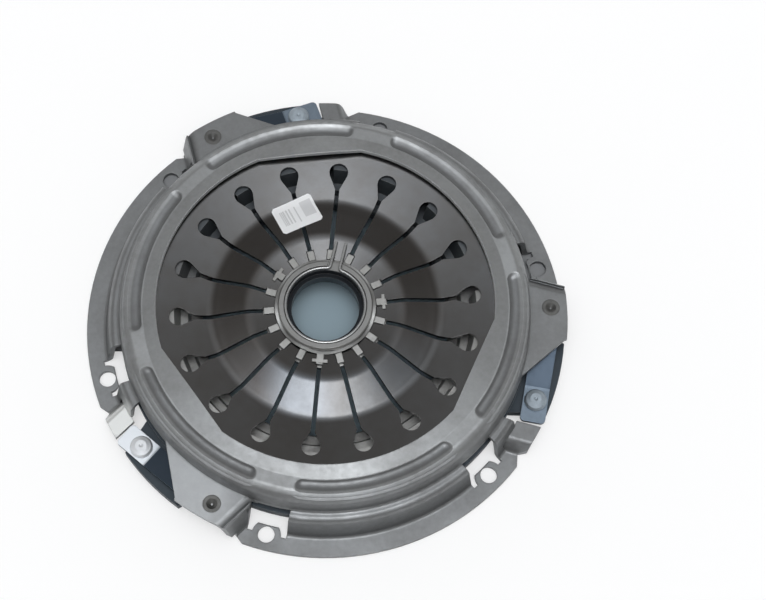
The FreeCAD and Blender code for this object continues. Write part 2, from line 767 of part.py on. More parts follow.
def make_diaphragm_spring():
    """A dished spring ring cut into fingers, each slot ending in a pear-shaped hole."""
    body = new_body("diaphragm_spring")
    tops = [
        ("spring_outer_radius", SPRING_RIM),
        ("spring_knee_radius", SPRING_KNEE),
        ("spring_low_radius", SPRING_LOW),
        ("spring_hump_radius", SPRING_HUMP),
        ("spring_tip_radius", SPRING_TIP),
    ]
    undersides = [(radius, height + " - spring_thickness") for radius, height in tops]
    section = body_sketch(body, "SpringSection", "XZ_Plane")
    draw_corners(section, tops + undersides[::-1], bends={
        1: "spring_bend", 2: "spring_bend", 3: "spring_bend",
        6: "spring_bend", 7: "spring_bend", 8: "spring_bend",
    })
    revolve(body, "SpringDish", section)
    slot_sketch = body_sketch(body, "SlotOutline", "XY_Plane", "crown_height")
    draw_slot(slot_sketch)
    slot = pad(body, "Slot", slot_sketch, "crown_height", kind="PartDesign::Pocket")
    repeat(body, "Slots", slot, "finger_count")
    turn(body, "first_slot_angle")
    return body


def draw_slot(sketch):
    """A slot on +X from the tip notch to the neck, flaring into a round end."""
    start = "spring_tip_radius - 3 * overrun"
    centre = Vector(number("keyhole_centre"), 0, 0)
    radius = number("keyhole_radius")
    corners = [
        ("slot_neck_radius", "slot_half_width"),
        ("notch_outer_radius", "slot_half_width"),
        ("notch_outer_radius", "notch_half_width"),
        (start, "notch_half_width"),
        (start, "-notch_half_width"),
        ("notch_outer_radius", "-notch_half_width"),
        ("notch_outer_radius", "-slot_half_width"),
        ("slot_neck_radius", "-slot_half_width"),
    ]
    lines = draw_corners(sketch, corners, closed=False)
    to_neck = corner_point(corners[0]) - centre
    tangent_angle = math.atan2(to_neck.y, to_neck.x) - math.acos(radius / to_neck.Length)
    rim = Part.ArcOfCircle(Part.Circle(centre, UP, radius), -tangent_angle, tangent_angle)
    arc = sketch.addGeometry(rim, False)
    touch = Vector(radius * math.cos(tangent_angle), radius * math.sin(tangent_angle), 0)
    flip = Vector(touch.x, -touch.y, 0)
    neck = corner_point(corners[0])
    upper = sketch.addGeometry(Part.LineSegment(centre + touch, neck), False)
    neck = corner_point(corners[-1])
    lower = sketch.addGeometry(Part.LineSegment(neck, centre + flip), False)
    sketch.addConstraint(Sketcher.Constraint("Coincident", upper, 2, lines[0], 1))
    sketch.addConstraint(Sketcher.Constraint("Coincident", lower, 1, lines[-1], 2))
    sketch.addConstraint(Sketcher.Constraint("Tangent", arc, 2, upper, 1))
    sketch.addConstraint(Sketcher.Constraint("Tangent", lower, 2, arc, 1))
    pin_point(sketch, arc, 3, ("keyhole_centre", "0"))
    rule = Sketcher.Constraint("Radius", arc, radius)
    bind(sketch, f"Constraints[{sketch.addConstraint(rule)}]", "keyhole_radius")
    doc.recompute()


def make_leaf(ear, leaf):
    """A spring leaf: flat on the lug, then a slope up to its flat under the platform."""
    body = new_body(f"strap_{ear + 1}_leaf_{leaf + 1}")
    bottoms = [
        ("-strap_lug_overhang", "lug_height"),
        ("strap_lug_flat", "lug_height"),
        (f"{STRAP_SPAN} - strap_cover_flat", STRAP_HIGH),
        (f"{STRAP_SPAN} + strap_cover_overhang", STRAP_HIGH),
    ]
    tops = [(run, height + " + leaf_thickness") for run, height in bottoms]
    section = body_sketch(body, "LeafSection", "XZ_Plane")
    draw_corners(section, bottoms + tops[::-1], bends={
        1: "leaf_bend", 2: "leaf_bend", 5: "leaf_bend", 6: "leaf_bend",
    })
    blank = pad(body, "LeafBlank", section, "leaf_width", both_ways=True)
    holes = body_sketch(body, "LeafHoles", "XY_Plane", "shoulder_height")
    draw_circle(holes, ("0", "0"), "lug_rivet_radius + rivet_clearance")
    draw_circle(holes, (STRAP_SPAN, "0"), "cover_rivet_radius + rivet_clearance")
    punched = pad(body, "LeafPunch", holes, "shoulder_height", kind="PartDesign::Pocket")
    corners = []
    for index, edge in enumerate(punched.Shape.Edges, 1):
        ends = [vertex.Point for vertex in edge.Vertexes]
        upright = len(ends) == 2 and (ends[0] - ends[1]).cross(UP).Length < 1e-6
        if upright and abs(abs(ends[0].y) - number("leaf_width") / 2) < 1e-6:
            corners.append(f"Edge{index}")
    rounded = body.newObject("PartDesign::Fillet", "LeafCorners")
    rounded.Base = (punched, corners)
    bind(rounded, "Radius", "leaf_corner")
    body.Tip = rounded
    ear_angle = f"(first_ear_angle + {ear} * {FULL_TURN} / ear_count) * 1deg"
    body.Placement = Placement(Vector(), Rotation(UP, 1))
    bind(body, "Placement.Rotation.Angle", f"{ear_angle} + {STRAP_HEADING}")
    bind(body, "Placement.Base.x", f"{LUG_X} * cos({ear_angle}) - {LUG_Y} * sin({ear_angle})")
    bind(body, "Placement.Base.y", f"{LUG_X} * sin({ear_angle}) + {LUG_Y} * cos({ear_angle})")
    bind(body, "Placement.Base.z", f"{leaf} * leaf_thickness")
    doc.recompute()
    return body


def make_rivets(label, circle, angle, corners):
    """One turned rivet on its circle, repeated at each ear. Corners are from its own axis."""
    body = new_body(label)
    section = body_sketch(body, "RivetSection", "XZ_Plane")
    draw_corners(section, [(f"{circle} + {run}", height) for run, height in corners])
    axis = Part.LineSegment(Vector(number(circle), 0, 0), Vector(number(circle), 10, 0))
    line = sketch_axis(section, axis, circle)
    rivet = revolve(body, "Rivet", section, line)
    repeat(body, "Rivets", rivet, "ear_count")
    turn(body, f"first_ear_angle + {angle}")
    return body


def sketch_axis(sketch, line, distance):
    """A construction line parallel to Z at the given distance, to revolve about."""
    index = sketch.addGeometry(line, True)
    pin_point(sketch, index, 1, (distance, "0"))
    sketch.addConstraint(Sketcher.Constraint("Vertical", index))
    doc.recompute()
    return "Axis0"


def make_cover_rivets():
    head_low = f"{STRAP_HIGH} - cover_rivet_head_height"
    return make_rivets("cover_rivets", "cover_rivet_circle", "cover_rivet_angle", [
        ("0", head_low),
        ("cover_rivet_crown_share * cover_rivet_head_radius", head_low),
        ("cover_rivet_brow_share * cover_rivet_head_radius",
         f"{STRAP_HIGH} - cover_rivet_brow_rise * cover_rivet_head_height"),
        ("cover_rivet_head_radius", STRAP_HIGH),
        ("cover_rivet_radius", STRAP_HIGH),
        ("cover_rivet_radius", "shoulder_height - cover_rivet_sink_depth"),
        ("cover_rivet_sink_radius", "shoulder_height"),
        ("cover_rivet_dimple_radius", "shoulder_height"),
        ("0", "shoulder_height - cover_rivet_dimple_depth"),
    ])


def make_lug_rivets():
    seat = f"(lug_height + {PACK_THICKNESS})"
    return make_rivets("lug_rivets", "lug_rivet_circle", "lug_rivet_angle", [
        ("0", "lug_underside + lug_rivet_recess"),
        ("lug_rivet_radius", "lug_underside + lug_rivet_recess"),
        ("lug_rivet_radius", seat),
        ("lug_rivet_head_radius", seat),
        ("lug_rivet_head_radius", f"{seat} + lug_rivet_rim_rise * lug_rivet_head_height"),
        ("lug_rivet_brow_share * lug_rivet_head_radius",
         f"{seat} + lug_rivet_brow_rise * lug_rivet_head_height"),
        ("lug_rivet_crown_share * lug_rivet_head_radius", f"{seat} + lug_rivet_head_height"),
        ("lug_rivet_dimple_share * lug_rivet_head_radius", f"{seat} + lug_rivet_head_height"),
        ("0", f"{seat} + lug_rivet_dimple_rise * lug_rivet_head_height"),
    ])


def make_release_collar():
    """The ring that pulls on the fingers from below, swaged over them at the top."""
    body = new_body("release_collar")
    section = body_sketch(body, "CollarSection", "XZ_Plane")
    lip_low = "(collar_top - collar_lip_thickness)"
    wire_floor = "(collar_top - 2 * wire_radius - seat_gap)"
    draw_corners(section, [
        ("nose_bore_radius", "collar_foot"),
        ("collar_radius", "collar_foot"),
        ("collar_radius", f"{FLANGE_TOP} - collar_flange_thickness"),
        ("collar_flange_radius", f"{FLANGE_TOP} - collar_flange_thickness"),
        ("collar_flange_radius", FLANGE_TOP),
        ("collar_radius", FLANGE_TOP),
        ("collar_radius", lip_low),
        ("collar_lip_radius", lip_low),
        ("collar_lip_radius", "collar_top - collar_lip_thickness / 3"),
        ("collar_lip_radius - collar_lip_thickness / 3", "collar_top"),
        ("wire_seat_radius", "collar_top"),
        ("wire_seat_radius", wire_floor),
        ("bore_radius", wire_floor),
        ("bore_radius", "bore_ledge_height"),
        ("nose_bore_radius", "bore_ledge_height"),
    ])
    revolve(body, "CollarRing", section)
    notch = body_sketch(body, "WireNotchOutline", "XY_Plane", "collar_top + overrun")
    draw_corners(notch, [
        ("bore_radius - 2 * overrun", "-wire_notch_half_width"),
        ("collar_lip_radius + 2 * overrun", "-wire_notch_half_width"),
        ("collar_lip_radius + 2 * overrun", "wire_notch_half_width"),
        ("bore_radius - 2 * overrun", "wire_notch_half_width"),
    ])
    pad(body, "WireNotch", notch, f"collar_top + overrun - {wire_floor}",
        kind="PartDesign::Pocket")
    turn(body, "wire_angle")
    return body


def make_finger_cage():
    """A washer under the fingertips, with a tab that stands in each slot's notch."""
    body = new_body("finger_cage")
    washer = body_sketch(body, "CageWasher", "XY_Plane", FLANGE_TOP)
    draw_circle(washer, ("0", "0"), "collar_flange_radius")
    draw_circle(washer, ("0", "0"), "collar_radius + seat_gap")
    pad(body, "CageDisc", washer, "cage_thickness")
    tab_sketch = body_sketch(body, "CageTabOutline", "XY_Plane", FLANGE_TOP)
    draw_corners(tab_sketch, [
        ("cage_tab_inner_radius", "-cage_tab_half_width"),
        ("cage_tab_outer_radius", "-cage_tab_half_width"),
        ("cage_tab_outer_radius", "cage_tab_half_width"),
        ("cage_tab_inner_radius", "cage_tab_half_width"),
    ])
    tab = pad(body, "CageTab", tab_sketch, f"cage_tab_top - {FLANGE_TOP}")
    repeat(body, "CageTabs", tab, "finger_count")
    turn(body, "first_slot_angle")
    return body


def make_wave_washer():
    """A thin spring washer in even waves between the collar's lip and the fingertips."""
    waves = int(number("wave_count"))
    amplitude = number("wave_amplitude")
    middle = number(f"{SPRING_TIP} + wave_amplitude + 4 * spring_gap")
    steps = 8 * waves

    def wavy_edge(radius):
        points = []
        for step in range(steps):
            angle = 2 * math.pi * step / steps
            height = middle + amplitude * math.cos(waves * angle)
            points.append(Vector(radius * math.cos(angle), radius * math.sin(angle), height))
        curve = Part.BSplineCurve()
        curve.interpolate(Points=points, PeriodicFlag=True)
        return curve.toShape()

    inner = wavy_edge(number("wave_inner_radius"))
    outer = wavy_edge(number("wave_outer_radius"))
    face = Part.makeRuledSurface(inner, outer)
    washer = doc.addObject("Part::Feature", "wave_washer")
    washer.Label = "wave_washer"
    washer.Shape = face.extrude(Vector(0, 0, number("wave_thickness")))
    washer.Placement = Placement(Vector(), Rotation())
    return washer


def make_locking_wire():
    """The split wire in the collar's seat, with both ends turned out over the fingers."""
    body = new_body("locking_wire")
    path = body_sketch(body, "WirePath", "XY_Plane", WIRE_HEIGHT)
    circle = number(WIRE_CIRCLE)
    gap = number("wire_prong_half_gap")
    bend = number("wire_bend")
    reach = number("wire_prong_reach")
    bend_x = math.sqrt((circle + bend) ** 2 - (gap + bend) ** 2)
    touch = math.atan2(gap + bend, bend_x)
    upper = sketch_line(path, Vector(reach, gap, 0), Vector(bend_x, gap, 0))
    upper_bend = sketch_arc(path, Vector(bend_x, gap + bend, 0), bend,
                            touch + math.pi, 1.5 * math.pi)
    ring_arc = sketch_arc(path, Vector(), circle, touch, 2 * math.pi - touch)
    lower_bend = sketch_arc(path, Vector(bend_x, -gap - bend, 0), bend,
                            0.5 * math.pi, math.pi - touch)
    lower = sketch_line(path, Vector(bend_x, -gap, 0), Vector(reach, -gap, 0))
    for first, first_end, second, second_end in (
        (upper, 2, upper_bend, 2), (upper_bend, 1, ring_arc, 1),
        (ring_arc, 2, lower_bend, 2), (lower_bend, 1, lower, 1),
    ):
        rule = Sketcher.Constraint("Tangent", first, first_end, second, second_end)
        path.addConstraint(rule)
    pin_point(path, ring_arc, 3, ("0", "0"))
    for arc, radius in ((ring_arc, WIRE_CIRCLE), (upper_bend, "wire_bend"),
                        (lower_bend, "wire_bend")):
        rule = Sketcher.Constraint("Radius", arc, number(radius))
        bind(path, f"Constraints[{path.addConstraint(rule)}]", radius)
    pin_point(path, upper, 1, ("wire_prong_reach", "wire_prong_half_gap"))
    pin_point(path, lower, 2, ("wire_prong_reach", "-wire_prong_half_gap"))
    for line in (upper, lower):
        path.addConstraint(Sketcher.Constraint("Horizontal", line))
    doc.recompute()
    profile = body_sketch(body, "WireSection", "YZ_Plane", "wire_prong_reach")
    draw_circle(profile, ("wire_prong_half_gap", WIRE_HEIGHT), "wire_radius")
    pipe = body.newObject("PartDesign::AdditivePipe", "Wire")
    pipe.Profile = profile
    pipe.Spine = path
    doc.recompute()
    turn(body, "wire_angle")
    return body


def sketch_line(sketch, start, finish):
    return sketch.addGeometry(Part.LineSegment(start, finish), False)


def sketch_arc(sketch, centre, radius, start, finish):
    arc = Part.ArcOfCircle(Part.Circle(centre, UP, radius), start, finish)
    return sketch.addGeometry(arc, False)


def make_clip(index):
    """A small T-shaped spring clip over one cage tab and its two fingers."""
    body = new_body(f"retaining_clip_{index + 1}")
    outline = body_sketch(body, "ClipOutline", "XY_Plane", "cage_tab_top + seat_gap")
    bar_inner = "clip_outer_radius - clip_bar_width"
    draw_corners(outline, [
        ("clip_inner_radius", "-clip_stem_half_width"),
        (bar_inner, "-clip_stem_half_width"),
        (bar_inner, "-clip_bar_half_width"),
        ("clip_outer_radius", "-clip_bar_half_width"),
        ("clip_outer_radius", "clip_bar_half_width"),
        (bar_inner, "clip_bar_half_width"),
        (bar_inner, "clip_stem_half_width"),
        ("clip_inner_radius", "clip_stem_half_width"),
    ])
    pad(body, "ClipBlade", outline, "clip_thickness")
    turn(body, str(CLIP_ANGLES[index]))
    return body


pieces = [
    make_cover(),
    make_diaphragm_spring(),
    make_pressure_plate(),
    make_cover_rivets(),
    make_lug_rivets(),
    make_release_collar(),
    make_finger_cage(),
    make_wave_washer(),
    make_locking_wire(),
]
for ear_index in range(int(number("ear_count"))):
    for leaf_index in range(int(number("leaf_count"))):
        pieces.append(make_leaf(ear_index, leaf_index))
for clip_index in range(len(CLIP_ANGLES)):
    pieces.append(make_clip(clip_index))

doc.recompute()
for item in doc.Objects:
    if "Invalid" in item.State or "Error" in item.State:
        raise RuntimeError(f"{item.Label} failed: {item.State}")
os.makedirs("parts", exist_ok=True)
for piece in pieces:
    if piece.Shape.isNull() or not piece.Shape.isValid():
        raise RuntimeError(f"{piece.Label} has no valid shape")
for piece in pieces:
    piece.Shape.exportStep(f"parts/{piece.Label}.step")
    box = piece.Shape.BoundBox
    print(piece.Label, len(piece.Shape.Solids), round(piece.Shape.Volume), box)
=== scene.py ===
import math

import bmesh
import bpy
import numpy as np
from mathutils import Matrix, Vector


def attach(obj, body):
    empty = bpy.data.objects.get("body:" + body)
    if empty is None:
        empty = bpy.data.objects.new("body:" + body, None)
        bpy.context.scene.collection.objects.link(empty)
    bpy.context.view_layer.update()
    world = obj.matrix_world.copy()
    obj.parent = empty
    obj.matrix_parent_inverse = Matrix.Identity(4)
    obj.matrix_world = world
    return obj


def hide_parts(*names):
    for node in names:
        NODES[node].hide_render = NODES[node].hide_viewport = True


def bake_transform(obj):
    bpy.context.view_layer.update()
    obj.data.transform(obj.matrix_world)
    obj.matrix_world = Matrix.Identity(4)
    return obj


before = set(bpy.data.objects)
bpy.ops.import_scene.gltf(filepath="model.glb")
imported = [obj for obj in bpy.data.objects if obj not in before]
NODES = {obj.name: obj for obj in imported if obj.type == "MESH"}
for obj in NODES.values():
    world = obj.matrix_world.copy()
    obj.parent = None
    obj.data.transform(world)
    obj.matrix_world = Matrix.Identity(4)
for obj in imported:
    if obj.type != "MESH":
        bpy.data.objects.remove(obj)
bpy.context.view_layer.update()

# The visual model of a clutch cover assembly. Metres, +Z up; the origin is on the axis.
MM = 0.001

# Camera: the photograph's view, as a direction, a distance and a framing.
PHOTO_WIDTH = 766
PHOTO_HEIGHT = 600
CAMERA_ELEVATION = math.radians(69.7)
CAMERA_ROLL = math.radians(0.42)
CAMERA_DISTANCE = 1.187
FOCAL_PIXELS = 1760
SENSOR_WIDTH = 36
ORIGIN_PIXEL = (325.2, 324.9)

# Light: one wide soft source overhead, a little towards the camera, in a pale room.
LIGHT_TILT = math.radians(10)
SOURCE_ANGLE = math.radians(11)
SOURCE_EDGE = math.radians(7)
SOURCE_STRENGTH = 5.8
ROOM_STRENGTH = 1.66
# Angle from the source in degrees, then the room's colour there.
ROOM_COLOURS = (
    (0, (0.93, 0.96, 1.0)),
    (20, (0.88, 0.91, 0.95)),
    (27, (0.60, 0.62, 0.64)),
    (34, (0.38, 0.38, 0.38)),
    (43, (0.26, 0.255, 0.25)),
    (60, (0.18, 0.175, 0.17)),
    (74, (0.45, 0.45, 0.45)),
    (84, (0.64, 0.64, 0.64)),
)
# White floor with painted shade on it: inside the plate's ring it is blue-grey, the floor's own
# colour darkened by painted shade, and under the far half of the cover it is grey, painted shade.
FLOOR_HALF_WIDTH = 30
FLOOR_GAP = 0.2 * MM
FLOOR_COLOUR = (0.98, 0.98, 0.98)
FLOOR_GLOW = 0.5
SHADE_COLOUR = (0.32, 0.41, 0.46)
SHADE_FAR_COLOUR = (0.25, 0.255, 0.262)
SHADE_MIDDLE_RADIUS = 90 * MM
SHADE_FAR_RADIUS = 156 * MM
SHADE_FAR_START = -20 * MM

# Diaphragm spring: its fingers bend between the cover and the release ring.
FINGER_COUNT = 18
FIRST_SLOT_ANGLE = 5
BEND_START_RADIUS = 136.8 * MM
BEND_END_RADIUS = 30.6 * MM
FINGER_CUT_STEP = 4 * MM
# Outside the first radius the dish shades as one even cone, whose slope's sine is the lean;
# up to the second its top keeps the mesh's own lean where that is flatter.
EVEN_CONE_RADIUS = 77 * MM
EVEN_CONE_FULL_RADIUS = 90 * MM
EVEN_CONE_LEAN = 0.155
# A face is part of the dish's top or bottom when its normal stands up this much.
DISH_UPRIGHT = 0.7

# The cover's ears: a platform over each strap's fixed end, one sheet lower than its solid,
# with a sunk rivet through it. Distances run along the ear from its middle.
PLATFORM_HEIGHT = 26 * MM
PLATFORM_DROP = 3.5 * MM
PLATFORM_INNER_RADIUS = 135.4 * MM
PLATFORM_START = -10 * MM
PLATFORM_END = 58.8 * MM
PLATFORM_RIM_RADIUS = 158 * MM
SLOPE_STILL_HEIGHT = 14 * MM
SLOPE_MOVED_HEIGHT = 22 * MM
SINK_RADIUS = 5.85 * MM
SINK_FLOOR_RADIUS = 4.05 * MM
SINK_DEPTH = 2.0 * MM
SINK_SIDES = 48
# How far a point may be from a flat, and how upright a face of it has to be.
SHEET_TOLERANCE = 0.05 * MM
FLAT_TOLERANCE = 0.02 * MM
FLAT_UPRIGHT = 0.99

# Faces that meet at less than this angle shade as one; a face is level within the other.
SMOOTH_COSINE = math.cos(math.radians(28))
LEVEL_COSINE = math.cos(math.radians(0.5))

# The crown's grooves are deepest a little inside their middle.
GROOVE_RADIUS = 125 * MM
GROOVE_HALF_WIDTH = 5 * MM
GROOVE_TOP = 43.8 * MM
GROOVE_DEPTH = 1.8 * MM
GROOVE_GAP = 0.1 * MM
GROOVE_SHIFT = 1.4 * MM

# Leaf straps.
EAR_ANGLES = (105, 225, 345)
# What lies farther out than this along an ear's direction belongs to that ear.
EAR_REACH = 80 * MM
LEAF_COUNT = 3
LEAF_CUT_STEP = 2 * MM
LEAF_CREASE = math.radians(30)

# Paper label, stuck across one slot.
LABEL_ANGLE = 106.2
LABEL_RADIUS = 69.5 * MM
LABEL_TURN = 26
LABEL_WIDTH = 29.0 * MM
LABEL_HEIGHT = 21.8 * MM
LABEL_CORNER = 1.6 * MM
LABEL_THICKNESS = 0.12 * MM
LABEL_GAP = 0.05 * MM
LABEL_SLOT = 5
LABEL_COLUMNS = 29
LABEL_ROWS = 19
# Printed blocks as shares of the label: left, right, bottom, top; then how dark they are.
LABEL_BARS = (0.14, 0.40, 0.25, 0.80)
LABEL_BLOCKS = (
    ((0.66, 0.94, 0.30, 0.86), 0.55),
    ((0.50, 0.53, 0.20, 0.80), 0.7),
)
LABEL_BAR_FINENESS = 60
LABEL_INK_SHARE = 0.55
LABEL_PAPER_COLOUR = (0.72, 0.73, 0.74)
LABEL_INK_COLOUR = (0.12, 0.12, 0.13)
LABEL_FIBRE_FINENESS = 1500
LABEL_FIBRE_STRENGTH = 0.4
LABEL_FIBRE_DEPTH = 0.03 * MM
LABEL_ROUGHNESS = 0.45

# Bare metal: broad patches and finer speckles make its stains and its changes of gloss.
SPECKLE_FINENESS = 9
STAIN_SPECKLE_SHARE = 0.5
STAIN_RANGE = (0.55, 0.95)
GLOSS_PATCH_SHARE = 0.6
GLOSS_SPECKLE_SHARE = 0.4
GLOSS_RANGE = (0.35, 0.65)
GRAIN_STRENGTH = 0.6
TURNED_HEIGHT_SCALE = 1.3
TURNED_MARK_DEPTH = 1.6
WEAR_RANGE = (0.97, 0.75)
WEAR_BRIGHTNESS = 2.2
BEVEL_SAMPLES = 4

# Colours that change over a piece. An edge is the two places between which one sets in.
# Painted shade on the cover, outside its crown and in its grooves.
COVER_SHADE_COLOUR = (0.01, 0.01, 0.012)
CROWN_EDGE = (130 * MM, 133 * MM)
CROWN_SHADE_SHARE = 0.30
GROOVE_SHADE_RADIUS = 123.3 * MM
GROOVE_SIDE_EDGE = (4.2 * MM, 3 * MM)
GROOVE_HEIGHT_EDGE = (43.6 * MM, 42.9 * MM)
GROOVE_SHADE_SHARE = 0.42
# Painted light on the cover mouth's cut edge.
CUT_UPRIGHT_EDGE = (0.5, 0.3)
CUT_RADIUS_EDGE = (114 * MM, 113 * MM)
CUT_EDGE_LIGHT_COLOUR = (0.85, 0.87, 0.88)
# Painted highlights on a platform and on a tab at the second ear.
LIT_PLATFORM_PLACE = (-92 * MM, -120 * MM, 26 * MM)
LIT_PLATFORM_EDGE = (46 * MM, 26 * MM)
LIT_PLATFORM_RADIUS_EDGE = (135 * MM, 137 * MM)
LIT_PLATFORM_SHARE = 0.3
LIT_PLATFORM_COLOUR = (0.62, 0.64, 0.66)
LIT_TAB_PLACE = (-133 * MM, -73 * MM, 14 * MM)
LIT_TAB_EDGE = (17 * MM, 9 * MM)
LIT_TAB_COLOUR = (0.62, 0.63, 0.62)
# Painted shade in the collar's bore.
BORE_EDGE = (25.5 * MM, 25.1 * MM)
BORE_SHADE_COLOUR = (0.02, 0.022, 0.025)
# Painted shade on the casting's far side and lugs.
CASTING_SHADE_FAR_EDGE = (0, 45 * MM)
CASTING_SHADE_FAR_SHARE = 0.85
CASTING_SHADE_RADIUS_EDGE = (112 * MM, 122 * MM)
CASTING_SHADE_COLOUR = (0.035, 0.045, 0.055)
# The spring's bowl: a brown tone that is partly painted shade, a painted highlight on its near
# side and painted shade to its right.
BOWL_INNER_EDGE = (47 * MM, 52 * MM)
BOWL_OUTER_EDGE = (80 * MM, 72 * MM)
BOWL_SHARE = 0.35
BOWL_NEAR_EDGE = (-15 * MM, -42 * MM)
BOWL_RIGHT_EDGE = (0, 18 * MM)
BOWL_HIGHLIGHT_LEFT_EDGE = (-44 * MM, -28 * MM)
BOWL_HIGHLIGHT_RIGHT_EDGE = (12 * MM, -6 * MM)
BOWL_BROWN_AND_SHADE = (0.045, 0.035, 0.028)
BOWL_SHADE = (0.012, 0.016, 0.02)
BOWL_HIGHLIGHT = (0.116, 0.137, 0.165)
# Painted light on the straps and rivet head at the second ear, and painted shade on the straps'
# slopes.
SECOND_EAR_EDGE = (-100 * MM, -112 * MM)
LIT_STRAP_COLOUR = (0.62, 0.65, 0.68)
LIT_HEAD_COLOUR = (0.66, 0.68, 0.70)
STRAP_SLOPE_SHADE_COLOUR = (0.045, 0.06, 0.08)
STRAP_LEVEL_EDGE = (0.990, 0.998)


def polar(radius, degrees, height=0.0):
    angle = math.radians(degrees)
    return Vector((radius * math.cos(angle), radius * math.sin(angle), height))


# Camera, light and floor.
def make_camera():
    back = Vector((0, -math.cos(CAMERA_ELEVATION), math.sin(CAMERA_ELEVATION)))
    level_right = Vector((1, 0, 0))
    level_up = back.cross(level_right)
    right = math.cos(CAMERA_ROLL) * level_right + math.sin(CAMERA_ROLL) * level_up
    up = math.cos(CAMERA_ROLL) * level_up - math.sin(CAMERA_ROLL) * level_right
    data = bpy.data.cameras.new("camera")
    data.sensor_width = SENSOR_WIDTH
    data.lens = FOCAL_PIXELS * SENSOR_WIDTH / PHOTO_WIDTH
    data.shift_x = (PHOTO_WIDTH / 2 - ORIGIN_PIXEL[0]) / PHOTO_WIDTH
    data.shift_y = (ORIGIN_PIXEL[1] - PHOTO_HEIGHT / 2) / PHOTO_WIDTH
    data.clip_start = 0.05
    data.clip_end = 100
    camera = bpy.data.objects.new("camera", data)
    bpy.context.scene.collection.objects.link(camera)
    turn = Matrix((right, up, back)).transposed().to_4x4()
    camera.matrix_world = Matrix.Translation(back * CAMERA_DISTANCE) @ turn
    bpy.context.scene.camera = camera


class Nodes:
    """Short ways to add nodes to a tree and join them."""

    def __init__(self, tree):
        self.tree = tree
        tree.nodes.clear()

    def add(self, kind, inputs=None, **settings):
        node = self.tree.nodes.new(kind)
        for name, value in settings.items():
            setattr(node, name, value)
        for name, value in (inputs or {}).items():
            if isinstance(value, bpy.types.NodeSocket):
                self.tree.links.new(value, node.inputs[name])
            else:
                node.inputs[name].default_value = value
        return node

    def math(self, operation, first, second=0.0):
        return self.add("ShaderNodeMath", {0: first, 1: second}, operation=operation).outputs[0]

    def noise(self, vector, scale, detail=3.0, roughness=0.5):
        return self.add("ShaderNodeTexNoise", {
            "Vector": vector, "Scale": scale, "Detail": detail, "Roughness": roughness,
        }).outputs["Fac"]

    def remap(self, value, low, high, new_low=0.0, new_high=1.0):
        return self.add("ShaderNodeMapRange", {
            "Value": value, "From Min": low, "From Max": high,
            "To Min": new_low, "To Max": new_high,
        }).outputs[0]

    def part(self, vector, letter):
        return self.add("ShaderNodeSeparateXYZ", {"Vector": vector}).outputs[letter]

    def distance(self, first, second):
        return self.add("ShaderNodeVectorMath", {0: first, 1: second},
                        operation="DISTANCE").outputs["Value"]

    def mix(self, amount, first, second):
        node = self.add("ShaderNodeMix", {"Factor": amount}, data_type="RGBA")
        for socket, value in ((node.inputs[6], first), (node.inputs[7], second)):
            if isinstance(value, bpy.types.NodeSocket):
                self.tree.links.new(value, socket)
            else:
                socket.default_value = (*value, 1)
        return node.outputs[2]


def make_light():
    world = bpy.data.worlds.new("room")
    bpy.context.scene.world = world
    world.use_nodes = True
    nodes = Nodes(world.node_tree)
    direction = nodes.add("ShaderNodeTexCoord").outputs["Generated"]
    source = (0, -math.sin(LIGHT_TILT), math.cos(LIGHT_TILT))
    cosine = nodes.add("ShaderNodeVectorMath", {0: direction, 1: source},
                       operation="DOT_PRODUCT").outputs["Value"]
    angle = nodes.math("ARCCOSINE", cosine)
    ramp = nodes.add("ShaderNodeValToRGB", {"Fac": nodes.math("DIVIDE", angle, math.pi)})
    elements = ramp.color_ramp.elements
    while len(elements) < len(ROOM_COLOURS):
        elements.new(0.5)
    for element, (degrees, colour) in zip(elements, ROOM_COLOURS):
        element.position = degrees / 180
        element.color = (*colour, 1)
    room = nodes.add("ShaderNodeBackground", {
        "Color": ramp.outputs["Color"], "Strength": ROOM_STRENGTH,
    })
    glow = nodes.add("ShaderNodeMapRange", {
        "Value": angle, "From Min": SOURCE_ANGLE + SOURCE_EDGE, "From Max": SOURCE_ANGLE,
        "To Min": 0.0, "To Max": SOURCE_STRENGTH,
    }, interpolation_type="SMOOTHSTEP")
    source_light = nodes.add("ShaderNodeBackground", {"Strength": glow.outputs[0]})
    both = nodes.add("ShaderNodeAddShader", {
        0: room.outputs[0], 1: source_light.outputs[0],
    })
    nodes.add("ShaderNodeOutputWorld", {"Surface": both.outputs[0]})


